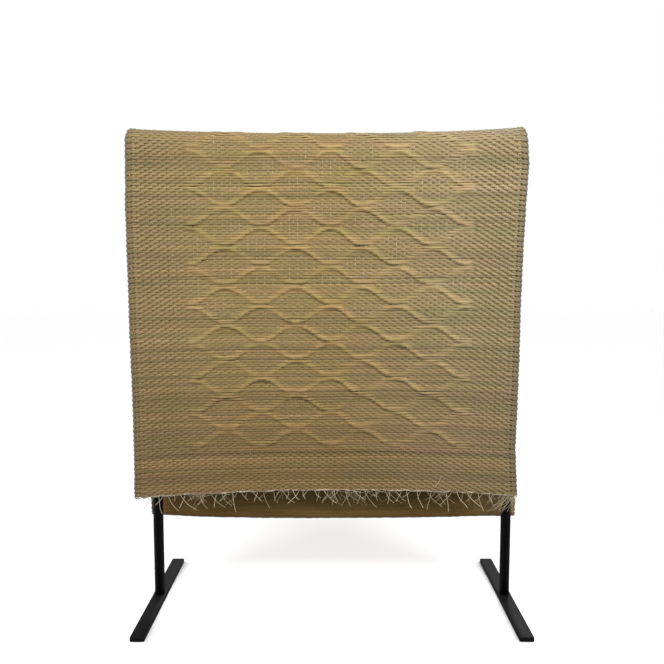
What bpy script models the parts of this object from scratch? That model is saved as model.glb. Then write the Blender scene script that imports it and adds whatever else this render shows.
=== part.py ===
"""A woven rush mat with a cut warp fringe, draped over the top bar of a plain black tube stand.

Metres, +Z up. The long drop with the fringe hangs in front, towards -Y, and +X is on the viewer's right.
The origin is on the floor, under the middle of the whole thing's box.
"""

import math
import random

import bmesh
import bpy
import numpy as np
from mathutils import Vector

# Cloth of the mat, cut 0.90 m by 1.80 m
MAT_WIDTH = 0.900
MAT_THICKNESS = 0.0032
FRONT_LENGTH = 0.852  # along the cloth, from the top of the fold to the front hem
BACK_LENGTH = 0.944  # the same, to the back hem
FOLD_RADIUS = 0.034  # at the middle of the cloth's thickness
CLEARANCE = 0.0003  # between pieces that touch

# How the drape departs from two flat panels
STAND_MIDDLE = 0.0052  # the stand stands this far right of the whole thing's middle
FRONT_SHIFT = -0.0125  # the mat's middle on the front, to the left of the stand's
BACK_SHIFT = 0.002  # the same at the back hem
FLARE = 0.031  # the stiff side edges stand out from the stand by this much
FLARE_LEAN = 0.10  # the front flares more on its left
BACK_FLARE = 0.012  # all that is left of the flare at the back hem
BACK_LIFT = 0.006  # the back hem's corners are this much higher than its middle
LEFT_RISE = 0.008  # the fold's ends stand up above its middle
RIGHT_RISE = 0.0125
RISE_POWER = 2.4
RISE_REACH = 0.09  # along the cloth, from the top of the fold
HEM_DIP = 0.0062  # the front hem's corners hang below its middle
RIPPLE = 0.0011  # soft unevenness of each panel
RIPPLE_LENGTH = 0.31
RIPPLE_SLANT = 0.35
BACK_CURL = 0.011  # the back hem's right corner turns forward round the upright
BACK_CURL_WIDTH = 0.10
BACK_CURL_HEIGHT = 0.16

# Wander of the front side edges: share of the way from fold to hem, left edge, right edge
EDGE_WANDER = (
    (0.00, 0.0045, -0.0035),
    (0.12, 0.0027, 0.0040),
    (0.22, 0.0008, -0.0014),
    (0.35, 0.0020, -0.0050),
    (0.52, 0.0028, -0.0076),
    (0.70, 0.0060, -0.0092),
    (0.88, 0.0065, -0.0120),
    (0.95, 0.0060, -0.0085),
    (1.00, 0.0056, -0.0060),
)

# Raised lattice of wavy lines, which meet in pairs and leave rounded cells between them
LINE_PITCH = 0.0427
FIRST_MEETING = -0.0197  # along the cloth from the top of the fold, minus towards the front hem
WAVE_LENGTH = 0.162
WAVE_MIDDLE = -0.071  # across the cloth, where the first meeting lies
WAVE_SWING = 0.0182
WAVE_FLATNESS = 0.35
LINE_DRIFT = 0.0105  # the front's middle lines sit this much nearer the hem than an even pitch
DRIFT_START, DRIFT_LINES = 3.5, 14
LINE_HEIGHT = 0.0022
LINE_FLANK = 0.0052
CROWDED_SHARE = 0.30
PLAIN_BAND = 0.0955  # from each hem to the lattice's border
BORDER_HEIGHT = 0.0010
FIRST_LINE, LAST_LINE = -19, 17  # back to front
WAVES_ACROSS = 4
COLUMNS_PER_WAVE = 8
SELVEDGE_WIDTH = 0.012
SELVEDGE_HEIGHT = 0.0006
FOLD_ROWS = 3  # more rows between two lines where the cloth bends
FOLD_REACH = 0.090
INNER_COLUMN_STEP = 3
INNER_PANEL_ROWS = 7
INNER_FOLD_ROWS = 12

# Fringe of cut warp ends at the front hem
FRINGE_STRIP = 0.0045
FRINGE_STRANDS = 74
STRAND_WIDTH = 0.0013
STRAND_LAYER = 0.0008  # strands that lean left hang this far behind the middle, the others in front
LAYER_SPREAD = 0.06  # each layer leaves the other by this much for each metre down
STRAND_LENGTHS = (0.014, 0.050)
STRAND_LEANS = (0.15, 1.00)  # sideways for each metre down
LEAN_SWING = 0.9  # turn of the slow change of lean, for each strand
STRAND_SCATTER = 0.18
STRAND_TAPER = 0.25
STRAND_STEPS = 3
FRINGE_SEED = 11

# Stand
TUBE_RADIUS = 0.012
TUBE_SIDES = 24
BAR_HEIGHT = 1.100  # the top bar's middle line
UPRIGHT_X = 0.421
FOOT_LENGTH = 0.420
FOOT_WIDTH = 0.032
FOOT_HEIGHT = 0.012
FOOT_EDGE = 0.0025
SHARP_ANGLE = math.radians(35)

FOLD_QUARTER = math.pi * FOLD_RADIUS / 2
FRONT_HEM = -FRONT_LENGTH + FRINGE_STRIP + CLEARANCE
LATTICE_LEFT = WAVE_MIDDLE - 1.5 * WAVE_LENGTH
FOLD_TOP = BAR_HEIGHT + TUBE_RADIUS + CLEARANCE + MAT_THICKNESS / 2


def clear_scene():
    for obj in list(bpy.data.objects):
        bpy.data.objects.remove(obj)


def make_collection(name):
    collection = bpy.data.collections.new(name)
    bpy.context.scene.collection.children.link(collection)
    return collection


def make_material(name, color, roughness, metallic=0.0):
    material = bpy.data.materials.new(name)
    material.use_nodes = True
    shader = material.node_tree.nodes["Principled BSDF"]
    shader.inputs["Base Color"].default_value = (*color, 1.0)
    shader.inputs["Roughness"].default_value = roughness
    shader.inputs["Metallic"].default_value = metallic
    return material


def object_from(bm, name, collection, material):
    mesh = bpy.data.meshes.new(name)
    bm.to_mesh(mesh)
    bm.free()
    mesh.materials.append(material)
    mesh.shade_smooth()
    mesh.set_sharp_from_angle(angle=SHARP_ANGLE)
    obj = bpy.data.objects.new(name, mesh)
    collection.objects.link(obj)
    return obj


def ease(value):
    """0 below 0, 1 above 1, and a soft step between them."""
    value = min(max(value, 0.0), 1.0)
    return value * value * (3.0 - 2.0 * value)


def edge_wander(across, share):
    """Sideways shift of the front panel: each side edge's own wander, fading towards the mat's middle."""
    shares, lefts, rights = zip(*EDGE_WANDER)
    side = lefts if across < 0 else rights
    return float(np.interp(share, shares, side)) * abs(across) ** 2


def sheet_point(x, along):
    """Middle of the cloth's thickness: x across the flat mat, along from the fold, minus in front."""
    across = 2.0 * x / MAT_WIDTH
    side = -1.0 if along < 0 else 1.0
    reach = abs(along)
    turn = min(reach / FOLD_RADIUS, math.pi / 2)
    height = FOLD_TOP - FOLD_RADIUS * (1.0 - math.cos(turn)) - max(reach - FOLD_QUARTER, 0.0)
    lean = FLARE_LEAN if side < 0 else 0.0
    flare = FLARE if side < 0 else FLARE + (BACK_FLARE - FLARE) * ease(reach / BACK_LENGTH)
    out = FOLD_RADIUS + flare * (across - lean) ** 2 - flare * lean**2
    depth = side * out * math.sin(turn)
    near_fold = 1.0 - ease(reach / RISE_REACH)
    rise = RIGHT_RISE if across > 0 else LEFT_RISE
    height += rise * abs(across) ** RISE_POWER * near_fold
    panel = ease((reach - FOLD_QUARTER) / RISE_REACH)
    depth += RIPPLE * panel * math.sin(2 * math.pi * (along + RIPPLE_SLANT * x) / RIPPLE_LENGTH)
    if side < 0:
        share = reach / FRONT_LENGTH
        sideways = FRONT_SHIFT + edge_wander(across, share)
        height -= HEM_DIP * (across - lean) ** 2 * ease(share)
    else:
        share = reach / BACK_LENGTH
        sideways = FRONT_SHIFT + (BACK_SHIFT - FRONT_SHIFT) * share
        corner = ease((x - MAT_WIDTH / 2) / BACK_CURL_WIDTH + 1.0)
        corner *= ease((reach - BACK_LENGTH) / BACK_CURL_HEIGHT + 1.0)
        depth -= BACK_CURL * corner
        height += BACK_LIFT * across**4 * ease(share)
    return Vector((STAND_MIDDLE + sideways + x, depth, height))


def sheet_normal(x, along):
    """Unit vector out of the cloth's patterned face."""
    step = 0.001
    inside = min(max(x, step - MAT_WIDTH / 2), MAT_WIDTH / 2 - step)
    across = sheet_point(inside + step, along) - sheet_point(inside - step, along)
    down = sheet_point(x, along + step) - sheet_point(x, along - step)
    return across.cross(down).normalized()


def wave(x):
    """1 on the first meeting's column and -1 half a wave on, with flattened tops."""
    turn = math.cos(2 * math.pi * (x - WAVE_MIDDLE) / WAVE_LENGTH)
    return turn * (1.0 + WAVE_FLATNESS - WAVE_FLATNESS * turn * turn)


def lattice_columns():
    """Places across the mat: the lattice's own columns, the selvedges and the side edges."""
    steps = WAVES_ACROSS * COLUMNS_PER_WAVE
    lattice = [LATTICE_LEFT + WAVE_LENGTH * i / COLUMNS_PER_WAVE for i in range(steps + 1)]
    edge = MAT_WIDTH / 2
    return [-edge, -edge + SELVEDGE_WIDTH, *lattice, edge - SELVEDGE_WIDTH, edge]


def selvedge_height(x):
    on_selvedge = abs(abs(x) - MAT_WIDTH / 2 + SELVEDGE_WIDTH) < 1e-6
    return SELVEDGE_HEIGHT if on_selvedge else 0.0


def line_middle(line):
    """Where one wavy line's middle lies along the cloth."""
    turn = min(max((line - 0.5 - DRIFT_START) / DRIFT_LINES, 0.0), 1.0)
    return FIRST_MEETING - LINE_PITCH * (line - 0.5) - LINE_DRIFT * math.sin(math.pi * turn) ** 2


def line_at(line, x):
    """Where one wavy line runs along the cloth."""
    middle = line_middle(line)
    swing = WAVE_SWING if line % 2 == 0 else -WAVE_SWING
    return middle - swing * wave(x)


def raised_rows(x, is_lattice):
    """(along, height) of every row of the patterned face at one column, from front hem to back hem."""
    height = LINE_HEIGHT if is_lattice else 0.0
    held = min(max(x, LATTICE_LEFT), LATTICE_LEFT + WAVES_ACROSS * WAVE_LENGTH)
    crests = [(-FRONT_LENGTH + PLAIN_BAND, BORDER_HEIGHT)]
    crests += [(line_at(line, held), height) for line in range(LAST_LINE, FIRST_LINE - 1, -1)]
    crests += [(BACK_LENGTH - PLAIN_BAND, BORDER_HEIGHT)]
    rows = [(FRONT_HEM, 0.0)]
    for i, (crest, crest_height) in enumerate(crests):
        before = crest - (crests[i - 1][0] if i > 0 else FRONT_HEM)
        after = (crests[i + 1][0] if i + 1 < len(crests) else BACK_LENGTH) - crest
        rows.append((crest - min(LINE_FLANK, CROWDED_SHARE * before), 0.0))
        rows.append((crest, crest_height))
        start = crest + min(LINE_FLANK, CROWDED_SHARE * after)
        rows.append((start, 0.0))
        line = LAST_LINE + 1 - i
        middle = (line_middle(line) + line_middle(line - 1)) / 2
        if i + 1 < len(crests) and abs(middle) < FOLD_REACH:
            following = crests[i + 1][0]
            end = following - min(LINE_FLANK, CROWDED_SHARE * after)
            for k in range(1, FOLD_ROWS + 1):
                rows.append((start + (end - start) * k / (FOLD_ROWS + 1), 0.0))
    rows.append((BACK_LENGTH, 0.0))
    return rows


def inner_rows():
    """Places along the cloth of the plain inner face's rows."""
    fold = np.linspace(-FOLD_QUARTER, FOLD_QUARTER, INNER_FOLD_ROWS + 1)
    front = np.linspace(FRONT_HEM, -RISE_REACH, INNER_PANEL_ROWS)
    back = np.linspace(RISE_REACH, BACK_LENGTH, INNER_PANEL_ROWS)
    return [float(v) for v in (*front, *fold, *back)]


def add_grid(bm, columns):
    """Quads between columns of vertices."""
    for left, right in zip(columns, columns[1:]):
        for i in range(len(left) - 1):
            bm.faces.new((left[i], right[i], right[i + 1], left[i + 1]))


def stitch(bm, first, second):
    """Triangles between two chains of (place, vertex) that run the same way with unlike spacing."""
    i = j = 0
    while i < len(first) - 1 or j < len(second) - 1:
        first_next = j == len(second) - 1
        if i < len(first) - 1 and not first_next:
            first_next = first[i + 1][0] <= second[j + 1][0]
        if first_next:
            bm.faces.new((first[i][1], first[i + 1][1], second[j][1]))
            i += 1
        else:
            bm.faces.new((first[i][1], second[j + 1][1], second[j][1]))
            j += 1


def make_mat(collection, material):
    """One closed sheet: a patterned outer face, a plain inner face, and its four edges."""
    bm = bmesh.new()
    half = MAT_THICKNESS / 2
    places = lattice_columns()
    outer, outer_rows = [], []
    for i, x in enumerate(places):
        rows = raised_rows(x, is_lattice=2 < i < len(places) - 3)
        raised = [(along, half + max(height, selvedge_height(x))) for along, height in rows]
        outer.append([bm.verts.new(sheet_point(x, a) + sheet_normal(x, a) * h) for a, h in raised])
        outer_rows.append(rows)
    inner_places = places[::INNER_COLUMN_STEP]
    inner = []
    rows = inner_rows()
    for x in inner_places:
        inner.append([bm.verts.new(sheet_point(x, a) - sheet_normal(x, a) * half) for a in rows])
    add_grid(bm, outer)
    add_grid(bm, inner)
    for end in (0, -1):
        outer_chain = [(row[0], vert) for row, vert in zip(outer_rows[end], outer[end])]
        stitch(bm, outer_chain, list(zip(rows, inner[end])))
        outer_hem = [(x, column[end]) for x, column in zip(places, outer)]
        inner_hem = [(x, column[end]) for x, column in zip(inner_places, inner)]
        stitch(bm, outer_hem, inner_hem)
    bmesh.ops.recalc_face_normals(bm, faces=bm.faces)
    return object_from(bm, "mat", collection, material)


def strand_plan():
    """Root place, lean, length and layer of every strand. Neighbours in a layer never cross."""
    draw = random.Random(FRINGE_SEED)
    pitch = MAT_WIDTH / FRINGE_STRANDS
    plan = []
    for i in range(FRINGE_STRANDS):
        x = -MAT_WIDTH / 2 + pitch * (i + 0.5 + draw.uniform(-STRAND_SCATTER, STRAND_SCATTER))
        side = 1 if i % 2 == 0 else -1
        swing = 0.5 + 0.5 * side * math.sin(LEAN_SWING * i + 1.0)
        lean = side * (STRAND_LEANS[0] + (STRAND_LEANS[1] - STRAND_LEANS[0]) * swing)
        longest = STRAND_LENGTHS[1] * (1.0 - STRAND_TAPER * abs(lean))
        plan.append((x, lean, draw.uniform(STRAND_LENGTHS[0], longest), side))
    return plan


def strand_point(x, lean, length, side, share):
    """Middle line of one strand below its root: it leans along the hem's curve, in its own layer."""
    root = sheet_point(x, -FRONT_LENGTH)
    drop = length * share
    sway = lean * drop * (1.0 + share) / 2
    depth = sheet_point(x + sway, -FRONT_LENGTH).y
    return Vector((root.x + sway, depth - side * (STRAND_LAYER + LAYER_SPREAD * drop), root.z - drop))


def make_fringe(collection, material):
    """A narrow strip parted from the hem, whose lower face is drawn out into the strands."""
    bm = bmesh.new()
    half = MAT_THICKNESS / 2 - CLEARANCE / 2
    places = [-MAT_WIDTH / 2]
    plan = strand_plan()
    for x, _, _, _ in plan:
        places += [x - STRAND_WIDTH / 2, x + STRAND_WIDTH / 2]
    places.append(MAT_WIDTH / 2)
    rings = []
    for x in places:
        corners = []
        for along, offset in ((0.0, half), (0.0, -half), (FRINGE_STRIP, -half), (FRINGE_STRIP, half)):
            spot = -FRONT_LENGTH + along
            corners.append(bm.verts.new(sheet_point(x, spot) + sheet_normal(x, spot) * offset))
        rings.append(corners)
    roots = []
    for i, (left, right) in enumerate(zip(rings, rings[1:])):
        for k in range(4):
            following = (k + 1) % 4
            face = bm.faces.new((left[k], left[following], right[following], right[k]))
            if k == 0 and i % 2 == 1:
                roots.append(face)
    bm.faces.new(rings[0])
    bm.faces.new(rings[-1])
    bmesh.ops.recalc_face_normals(bm, faces=bm.faces)
    for face, (x, lean, length, side) in zip(roots, plan):
        draw_out_strand(bm, face, x, lean, length, side)
    return object_from(bm, "fringe", collection, material)


def draw_out_strand(bm, face, x, lean, length, side):
    """Extrudes one root face along its strand, a little narrower at each step."""
    for step in range(1, STRAND_STEPS + 1):
        share = step / STRAND_STEPS
        face = bmesh.ops.extrude_discrete_faces(bm, faces=[face])["faces"][0]
        middle = strand_point(x, lean, length, side, share)
        width = STRAND_WIDTH * (1.0 - STRAND_TAPER * share) / 2
        centre = sum((vert.co for vert in face.verts), Vector()) / len(face.verts)
        for vert in face.verts:
            right = 1 if vert.co.x > centre.x else -1
            back = 1 if vert.co.y > centre.y else -1
            vert.co = middle + Vector((right * width, back * width, 0.0))


def make_tube(name, start, end, cuts, collection, material):
    """A round bar from start to end, each end trimmed by the plane through it with its own normal."""
    start, end = Vector(start), Vector(end)
    line = end - start
    bm = bmesh.new()
    spare = 2 * TUBE_RADIUS
    bmesh.ops.create_cone(
        bm,
        cap_ends=True,
        segments=TUBE_SIDES,
        radius1=TUBE_RADIUS,
        radius2=TUBE_RADIUS,
        depth=line.length + 2 * spare,
    )
    turn = Vector((0, 0, 1)).rotation_difference(line).to_matrix().to_4x4()
    bmesh.ops.transform(bm, matrix=turn, verts=bm.verts)
    bmesh.ops.translate(bm, vec=(start + end) / 2, verts=bm.verts)
    for place, normal in zip((start, end), cuts):
        cut = bmesh.ops.bisect_plane(
            bm,
            geom=bm.verts[:] + bm.edges[:] + bm.faces[:],
            plane_co=place,
            plane_no=Vector(normal),
            clear_outer=True,
        )
        rim = [item for item in cut["geom_cut"] if isinstance(item, bmesh.types.BMEdge)]
        bmesh.ops.contextual_create(bm, geom=rim)
    bmesh.ops.recalc_face_normals(bm, faces=bm.faces)
    return object_from(bm, name, collection, material)


def make_foot(name, x, collection, material):
    """A flat bar on the floor, front to back, with softened edges."""
    bm = bmesh.new()
    bmesh.ops.create_cube(bm, size=1.0)
    bmesh.ops.scale(bm, vec=(FOOT_WIDTH, FOOT_LENGTH, FOOT_HEIGHT), verts=bm.verts)
    bmesh.ops.translate(bm, vec=(x, 0.0, FOOT_HEIGHT / 2), verts=bm.verts)
    bmesh.ops.bevel(bm, geom=bm.edges[:], offset=FOOT_EDGE, segments=2, affect="EDGES", profile=0.5)
    return object_from(bm, name, collection, material)


def make_stand(collection, material):
    """Two uprights and a top bar mitred at their corners, each upright on a flat foot."""
    gap = CLEARANCE / math.sqrt(2)
    make_tube(
        "top_bar",
        (STAND_MIDDLE - UPRIGHT_X + gap, 0.0, BAR_HEIGHT),
        (STAND_MIDDLE + UPRIGHT_X - gap, 0.0, BAR_HEIGHT),
        ((-1, 0, -1), (1, 0, -1)),
        collection,
        material,
    )
    for name, side in (("left", -1), ("right", 1)):
        x = STAND_MIDDLE + side * UPRIGHT_X
        make_tube(
            f"{name}_upright",
            (x, 0.0, FOOT_HEIGHT + CLEARANCE),
            (x, 0.0, BAR_HEIGHT - gap),
            ((0, 0, -1), (-side, 0, 1)),
            collection,
            material,
        )
        make_foot(f"{name}_foot", x, collection, material)


def main():
    clear_scene()
    collection = make_collection("rush_mat_on_stand")
    rush = make_material("rush", (0.36, 0.27, 0.15), 0.75)
    warp = make_material("warp_thread", (0.62, 0.54, 0.42), 0.85)
    black = make_material("black_paint", (0.012, 0.012, 0.013), 0.5)
    make_mat(collection, rush)
    make_fringe(collection, warp)
    make_stand(collection, black)


main()
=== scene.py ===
"""Looks of a woven rush mat with a cut warp fringe, draped over the top bar of a black tube stand.

Metres, +Z up. The long drop with the fringe hangs in front, towards -Y, and +X is on the viewer's right.
Places on the mat are given flat: x across it, and along it from the top of the fold, minus in front.
"""

import math
import random

import bmesh
import bpy
import numpy as np
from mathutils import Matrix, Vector


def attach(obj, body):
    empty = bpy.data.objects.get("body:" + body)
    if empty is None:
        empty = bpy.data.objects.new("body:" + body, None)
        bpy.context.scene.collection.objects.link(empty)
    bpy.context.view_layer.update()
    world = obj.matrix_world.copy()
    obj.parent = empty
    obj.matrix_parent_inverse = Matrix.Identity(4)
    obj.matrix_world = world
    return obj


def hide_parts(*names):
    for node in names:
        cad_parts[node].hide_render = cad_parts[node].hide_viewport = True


# Cloth of the mat, as in the solids
MAT_WIDTH = 0.900
MAT_THICKNESS = 0.0032
FRONT_LENGTH = 0.852
BACK_LENGTH = 0.944
FOLD_RADIUS = 0.034
CLEARANCE = 0.0003
BAR_HEIGHT = 1.100
TUBE_RADIUS = 0.012
FOLD_QUARTER = math.pi * FOLD_RADIUS / 2
FOLD_TOP = BAR_HEIGHT + TUBE_RADIUS + CLEARANCE + MAT_THICKNESS / 2

# How the drape departs from two flat panels, as in the solids
STAND_MIDDLE = 0.0052
FRONT_SHIFT = -0.0125
BACK_SHIFT = 0.002
FLARE = 0.031
FLARE_LEAN = 0.10
BACK_FLARE = 0.012
BACK_LIFT = 0.006
LEFT_RISE = 0.008
RIGHT_RISE = 0.0125
RISE_POWER = 2.4
RISE_REACH = 0.09
HEM_DIP = 0.0062
RIPPLE = 0.0011
RIPPLE_LENGTH = 0.31
RIPPLE_SLANT = 0.35
BACK_CURL = 0.011
BACK_CURL_WIDTH = 0.10
BACK_CURL_HEIGHT = 0.16
EDGE_WANDER = (
    (0.00, 0.0045, -0.0035),
    (0.12, 0.0027, 0.0040),
    (0.22, 0.0008, -0.0014),
    (0.35, 0.0020, -0.0050),
    (0.52, 0.0028, -0.0076),
    (0.70, 0.0060, -0.0092),
    (0.88, 0.0065, -0.0120),
    (0.95, 0.0060, -0.0085),
    (1.00, 0.0056, -0.0060),
)

# Raised lattice of wavy lines, fitted to the photo from the solids' own
LINE_PITCH = 0.0427
FIRST_MEETING = -0.0197
WAVE_LENGTH = 0.162
WAVE_MIDDLE = -0.071
WAVE_SHIFT = 0.011  # the waves on the right lie this much nearer the middle
SHIFT_START, SHIFT_REACH = 0.010, 0.080
WAVE_SWING = 0.0175
WAVE_FLATNESS = 0.10
LINE_DRIFT = 0.0105
DRIFT_START, DRIFT_LINES = 3.5, 14
LINE_HEIGHT = 0.0027
LINE_FLANK = 0.0086
PLAIN_BAND = 0.0955
BORDER_HEIGHT = 0.0010
FIRST_LINE, LAST_LINE = -19, 17
WAVES_ACROSS = 4
LATTICE_MARGIN = 0.012  # the lines run on past the outer waves
LATTICE_LEFT = WAVE_MIDDLE - 1.5 * WAVE_LENGTH - LATTICE_MARGIN
LATTICE_RIGHT = WAVE_MIDDLE - 1.5 * WAVE_LENGTH + WAVES_ACROSS * WAVE_LENGTH + LATTICE_MARGIN
LATTICE_FADE = 0.024
BAND_FADE = 0.010
FOLD_RELIEF = 0.6  # share of the lines' height left on top of the fold
RELIEF_FADE = (0.015, 0.20)  # how far from there it starts to grow, and over what width, as in all fades
STEEPEST = 0.7  # slope of a line where it climbs most
BOLDNESS_LIMITS = (0.1, 1.4)
ANY_TURN = 6.3  # radians within which a wave of chance starts

# Weave
WARP_COUNT = 95
WEFT_PITCH = 0.00565
FINE_PITCH = 0.0046  # nearer rows beside the front hem
FINE_REACH = 0.040
PITCH_SCATTER = 0.15
WEFT_WIDTH = 0.0062
WEFT_THICKNESS = 0.0011
WEFT_SWING = 0.0007  # each weft passes this far over and under the middle
FOLD_SWING = 0.5  # share of that swing left on the stretched top of the fold
CELL_SWING = 0.42  # and inside the lattice, where the weave is calmer
OVER_FULLNESS = 1.10
FLOAT_FULLNESS = 1.02
UNDER_FULLNESS = ((-0.45, 0.86), (-0.20, 0.84), (0.20, 0.80), (0.45, 0.76))  # by place across the mat
CELL_UNDER = 0.95
LOW_LOSS = 0.07  # wefts are this much narrower low on the front
LOW_LOSS_START, LOW_LOSS_REACH = 0.45, 0.30
CALM_REACH = 0.09  # the weave grows calmer over this width beside the lattice
SPREAD_SHARE = 0.85  # how fully the wefts widen where the rows are pulled apart
FLOAT_REACH = 0.0104  # wefts stay on top of the warps this near a raised line
FAINT_FLOAT = 0.6  # share of that beside a line that hardly shows
FLOAT_START, FLOAT_FADE = 0.8, 0.4  # where that ends, and how softly, as shares of it
FLOAT_BLEND = 0.4  # how far a float's width goes over from that of a plain weft
LOWER_FLOATS, UPPER_FLOATS = (0.0, 0.6), (0.85, 1.15)  # how high every second float lies, and the others
ON_TOP = 0.7  # a weft at least this high lies over its warp
RIDGE_TILT = 0.74  # how fully the wefts lean with the slopes of the raised lines
LINE_EVENNESS = 0.88
LINE_LEANINGS = ((-0.32, 0.42), (-0.12, 0.16), (0.00, -0.22), (0.12, -0.84))  # by place across the mat
LINE_SCATTER = 0.20  # from one raised line to the next
LINE_SWELL = 0.45  # and along each of them
SWELL_LENGTH, SECOND_SWELL = 0.19, 1.9  # the second of two waves is this many times as short
SHOWN_WARPS = (  # warps that show outside the lattice: place, from and to along the mat, and how much
    (-0.346, -0.37, -0.05, 0.9),
    (-0.366, -0.30, -0.03, 0.5),
    (-0.388, -0.33, -0.03, 0.4),
    (0.317, -0.09, -0.03, 0.7),
    (0.357, -0.15, -0.01, 0.8),
)
WEFT_SIDES, WARP_SIDES = 5, 3
TIGHT_WARPS = ((-0.4025, 0.16), (-0.4120, 0.08), (0.3980, 0.10))  # place, and what wefts narrow by there
TIGHT_REACH = 0.0035
STITCH_SCATTER, SELVEDGE_SCATTER, ROW_SCATTER = 0.12, 0.16, 0.08  # of a weft's width
WARP_WIDTH = 0.0020
WARP_THICKNESS = 0.0007
WARP_SWING = 0.0010
WARP_SINK = 0.0010  # warps lie this much deeper where the wefts are packed close
FOLD_SINK, SINK_FADE = 0.9, (0.04, 0.03)  # and by this share more on the fold
EVERY_OTHER = 0.6  # every other warp is only this much as bright
WARP_CHANCE = (0.45, 1.0)
WARP_PATCHES = (37.0, 2.1, 51.0, 23.0)  # waves a metre, in radians, of the patches in which they show
PATCH_MIDDLE, PATCH_SWING = 0.75, 0.5
LOW_WARPS, LOW_WARPS_START, LOW_WARPS_REACH = 0.7, 0.25, 0.45  # duller by this share low on the front
BACK_WARPS, BACK_WARPS_REACH = 1.4, 0.08  # and by this many times that share on the back: painted shade on the drop behind
FOLD_WARPS, FOLD_WARPS_FADE = 0.6, (0.02, 0.05)  # and by this share on the fold
CELL_START = 0.0085  # from a raised line to where the warps begin to show inside a cell
CELL_END = 0.0130
SLANT = 0.0019  # each stitch rises by this on either side of its middle, at the mat's side edges
SLANT_MIDDLE = -0.12
SLANT_SHARES = ((-0.75, 0.55), (-0.40, 1.0), (0.30, 0.7))  # by place along the mat
SLANT_SCATTER = 0.25
SLANT_FADE, SWING_FADE = (0.02, 0.04), (0.02, 0.03)
ROW_WOBBLE = 0.0008
ROW_BENDS = ((0.0014, 4.8, 2.7, 0.4), (0.0009, 12.0, -5.3, 1.7), (0.0005, 27.0, 8.0, 4.0))
PLAIN_LIGHTNESS = 0.30  # 0 is the dullest straw and 1 the palest
FLOAT_SHEEN = 0.36  # what a smooth float adds: painted sheen, for the light it catches
DEEP_FLOAT_SHEEN = 0.55  # share of that painted sheen for the floats that lie deeper
ROW_LIGHTNESS = 0.16
PALE_BANDS = (  # place along the mat, half width, and what it adds
    (-0.094, 0.007, -0.32),
    (-0.118, 0.007, 0.36),
    (-0.149, 0.006, 0.24),
    (-0.165, 0.006, -0.24),
    (-0.217, 0.007, 0.22),
    (-0.242, 0.006, -0.32),
    (-0.260, 0.005, 0.48),
    (-0.281, 0.005, 0.30),
    (-0.299, 0.006, -0.26),
    (-0.396, 0.006, 0.34),
    (-0.463, 0.005, 0.18),
    (-0.495, 0.006, 0.16),
    (-0.514, 0.006, -0.16),
    (-0.568, 0.006, 0.22),
    (-0.601, 0.004, 0.42),
    (-0.651, 0.006, 0.18),
    (-0.757, 0.010, -0.28),
    (-0.785, 0.006, 0.16),
    (-0.813, 0.010, -0.20),
    (-0.833, 0.005, 0.42),
)
GROUND_THICKNESS = 0.0003
GROUND_DEPTH = 0.0003  # behind the middle of the weave
BACK_GROUND_DEPTH, BACK_GROUND_REACH = 0.0007, 0.10
GROUND_INSET = 0.001  # from the hems
GROUND_COLUMNS, GROUND_ROWS = 59, (80, 33, 90)  # across, and in front, on the fold and behind
WEAVE_SEED = 5  # and the seeds just past it

# Selvedges and hems
SELVEDGE_PLACES = (0.4490, 0.4470, 0.4435, 0.4398, 0.4360, 0.4322)  # points of each weft, edge first
SELVEDGE_GAP = 0.001  # its other points start at least this much further in
SELVEDGE_SPANS = (0.80, 1.08, 1.05, 1.05, 0.66, 1.05)
SELVEDGE_HEIGHTS = (0.0000, 0.0005, 0.0003, 0.0005, -0.0001, 0.0004)
SELVEDGE_DRAW = (1.00, 0.75, 0.45, 0.35, 0.55, 0.05)  # how fully two wefts draw together round the edge
SELVEDGE_PAIR = 0.42  # how far each moves at most, as a share of their pitch
SELVEDGE_SLOPE = 0.22  # how steeply they fall towards the edge
HEM_FADE = 0.08  # the rows run straight at the hems, and bend this far in
HOLE_LINE = 0.4360  # a line of small holes between the pairs
HOLE_REACH = 0.0030
HOLE_RIM = (-0.009, -HOLE_REACH, HOLE_REACH, 0.007, 0.013)  # columns of the ground around that line
HOLE_INSET = 0.014  # from that line to the outermost of the other columns
HOLE_FADE = (0.04, 0.04)
LEFT_HOLES = 0.35  # the painted shade in those beside the left selvedge is only this much as dark
SIDE_WARP_PLACE = 0.4412
SIDE_WARP = 0.0017
SIDE_WARP_RISE = 0.0013
EDGE_CORD = 0.0034
EDGE_INSET = 0.3  # share of the cord that lies on the mat
EDGE_SCALLOP, EDGE_SWELL = 0.0006, 0.15
EDGE_TONE = 0.3
CORD_LIFT = 0.0002
CORD_WANDER = 0.0006
LUMP_RUN, WANDER_RUN, PATCH_RUN = 4, 5, 12  # points over which chance is evened out along a cord
CORD_SIDES, SIDE_WARP_SIDES = 6, 4
HEM_CORDS = (  # place along the mat, width, how lumpy each is, and its seed
    ("front_hem_ends", -FRONT_LENGTH - 0.0004, 0.0031, 1.0, 3),
    ("back_hem_cord", BACK_LENGTH - 0.0002, 0.0030, 0.3, 4),
)
HEM_SWELL, HEM_WANDER = 0.55, 0.0016
HEM_POINTS = 361
HEM_TONES, HEM_PATCHES = (0.0, 0.7), 1.2

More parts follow.
